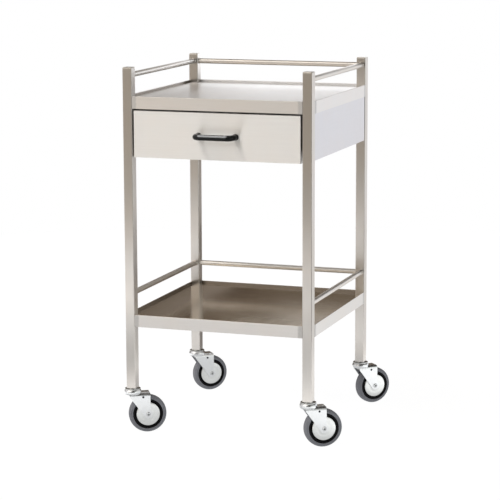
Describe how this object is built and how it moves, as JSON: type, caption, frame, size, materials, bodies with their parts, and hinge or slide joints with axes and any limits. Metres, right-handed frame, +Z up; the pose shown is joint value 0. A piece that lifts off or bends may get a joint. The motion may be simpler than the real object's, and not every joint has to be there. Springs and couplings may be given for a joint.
{
  "type": "instrument cart",
  "caption": "Two-tier instrument cart of square tube with a rimmed top tray, a drawer on telescopic runners, a lower tray, guard rails and swivel castors.",
  "frame": {"origin": "on the floor under the middle of the whole cart's bounding box", "axes": "+X the cart's right seen from the drawer side, +Y its back, +Z up"},
  "size_m": [0.5862, 0.6092, 0.965],
  "materials": {
    "stainless_tube": "satin, brushed along the tube",
    "stainless_cap": "satin",
    "stainless_sheet": "satin, brushed across the cart",
    "stainless_rail": "fine satin",
    "stainless_panel": "satin, brushed front to back",
    "stainless_bar": "mill",
    "zinc_runner": "bright zinc",
    "stainless_front": "satin, brushed across",
    "stainless_box": "mill",
    "black_plastic": "satin",
    "screw_steel": "bright zinc",
    "zinc_stem": "bright zinc",
    "zinc_fork": "bright zinc",
    "zinc_axle": "bright zinc",
    "guard_plate": "semi-gloss off-white",
    "hub_plastic": "satin black",
    "grey_rubber": "matt grey rubber"
  },
  "bodies": {
    "frame": {"post_front_left": "stainless_tube", "post_front_right": "stainless_tube", "post_back_left": "stainless_tube", "post_back_right": "stainless_tube", "post_cap_front_left": "stainless_cap", "post_cap_front_right": "stainless_cap", "post_cap_back_left": "stainless_cap", "post_cap_back_right": "stainless_cap", "upper_tray": "stainless_sheet", "lower_tray": "stainless_sheet", "upper_rail_left": "stainless_rail", "upper_rail_right": "stainless_rail", "upper_rail_back": "stainless_rail", "lower_rail_left": "stainless_rail", "lower_rail_right": "stainless_rail", "lower_rail_back": "stainless_rail", "side_panel_left": "stainless_panel", "side_panel_right": "stainless_panel", "back_panel": "stainless_panel", "runner_bar_left": "stainless_bar", "runner_outer_left": "zinc_runner", "runner_bar_right": "stainless_bar", "runner_outer_right": "zinc_runner", "castor_front_left_stem": "zinc_stem", "castor_front_right_stem": "zinc_stem", "castor_back_left_stem": "zinc_stem", "castor_back_right_stem": "zinc_stem"},
    "drawer": {"drawer_front": "stainless_front", "drawer_box": "stainless_box", "drawer_handle": "black_plastic", "handle_screw_left": "screw_steel", "handle_screw_right": "screw_steel", "runner_inner_left": "zinc_runner", "runner_inner_right": "zinc_runner"},
    "runner_middle_left_body": {"runner_middle_left": "zinc_runner"},
    "runner_middle_right_body": {"runner_middle_right": "zinc_runner"},
    "swivel_front_left": {"castor_front_left_fork": "zinc_fork", "castor_front_left_axle": "zinc_axle", "castor_front_left_guards": "guard_plate"},
    "wheel_front_left": {"castor_front_left_hub": "hub_plastic", "castor_front_left_tyre": "grey_rubber"},
    "swivel_front_right": {"castor_front_right_fork": "zinc_fork", "castor_front_right_axle": "zinc_axle", "castor_front_right_guards": "guard_plate"},
    "wheel_front_right": {"castor_front_right_hub": "hub_plastic", "castor_front_right_tyre": "grey_rubber"},
    "swivel_back_left": {"castor_back_left_fork": "zinc_fork", "castor_back_left_axle": "zinc_axle", "castor_back_left_guards": "guard_plate"},
    "wheel_back_left": {"castor_back_left_hub": "hub_plastic", "castor_back_left_tyre": "grey_rubber"},
    "swivel_back_right": {"castor_back_right_fork": "zinc_fork", "castor_back_right_axle": "zinc_axle", "castor_back_right_guards": "guard_plate"},
    "wheel_back_right": {"castor_back_right_hub": "hub_plastic", "castor_back_right_tyre": "grey_rubber"}
  },
  "joints": [
    {"name": "drawer_slide", "type": "slide", "parent": "frame", "child": "drawer", "axis": [0, -1, 0], "range_m": [0, 0.33]},
    {"name": "runner_middle_left_slide", "type": "slide", "parent": "frame", "child": "runner_middle_left_body", "axis": [0, -1, 0], "range_m": [0, 0.165]},
    {"name": "runner_middle_right_slide", "type": "slide", "parent": "frame", "child": "runner_middle_right_body", "axis": [0, -1, 0], "range_m": [0, 0.165]},
    {"name": "swivel_front_left_turn", "type": "hinge", "parent": "frame", "child": "swivel_front_left", "pos_m": [-0.2706, -0.24945, 0.11], "axis": [0, 0, 1], "continuous": true},
    {"name": "wheel_front_left_spin", "type": "hinge", "parent": "swivel_front_left", "child": "wheel_front_left", "pos_m": [-0.23743, -0.2303, 0.05], "axis": [0.5, -0.866, 0], "continuous": true},
    {"name": "swivel_front_right_turn", "type": "hinge", "parent": "frame", "child": "swivel_front_right", "pos_m": [0.214, -0.24945, 0.11], "axis": [0, 0, 1], "continuous": true},
    {"name": "wheel_front_right_spin", "type": "hinge", "parent": "swivel_front_right", "child": "wheel_front_right", "pos_m": [0.24612, -0.22859, 0.05], "axis": [0.5446, -0.8387, 0], "continuous": true},
    {"name": "swivel_back_left_turn", "type": "hinge", "parent": "frame", "child": "swivel_back_left", "pos_m": [-0.2706, 0.23515, 0.11], "axis": [0, 0, 1], "continuous": true},
    {"name": "wheel_back_left_spin", "type": "hinge", "parent": "swivel_back_left", "child": "wheel_back_left", "pos_m": [-0.24214, 0.26078, 0.05], "axis": [0.6691, -0.7431, 0], "continuous": true},
    {"name": "swivel_back_right_turn", "type": "hinge", "parent": "frame", "child": "swivel_back_right", "pos_m": [0.214, 0.23515, 0.11], "axis": [0, 0, 1], "continuous": true},
    {"name": "wheel_back_right_spin", "type": "hinge", "parent": "swivel_back_right", "child": "wheel_back_right", "pos_m": [0.24108, 0.26223, 0.05], "axis": [0.7071, -0.7071, 0], "continuous": true}
  ],
  "couplings": [
    {"joint": "runner_middle_left_slide", "follows": "drawer_slide", "ratio": 0.5},
    {"joint": "runner_middle_right_slide", "follows": "drawer_slide", "ratio": 0.5}
  ]
}
